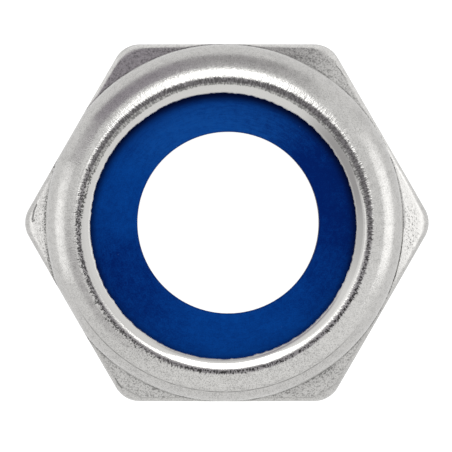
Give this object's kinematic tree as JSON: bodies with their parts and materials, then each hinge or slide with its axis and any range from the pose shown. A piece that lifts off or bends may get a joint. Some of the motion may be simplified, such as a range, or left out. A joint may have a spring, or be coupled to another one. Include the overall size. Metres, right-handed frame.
{
  "type": "nylon insert lock nut",
  "caption": "Hexagon lock nut whose crimped collar holds a nylon ring that grips the screw thread so that it doesn't shake loose.",
  "frame": {"origin": "centre of the bearing face, on the thread's axis", "axes": "+Z along the thread's axis from the bearing face towards the nylon ring; +X through a corner of the hexagon; +Y through the middle of a flat"},
  "size_m": [0.0148, 0.013, 0.008],
  "materials": {
    "nut_body": "cold-formed and tumbled stainless steel, satin",
    "nylon_insert": "moulded nylon, satin blue"
  },
  "bodies": {
    "root": {"nut_body": "nut_body", "nylon_insert": "nylon_insert"}
  },
  "joints": []
}
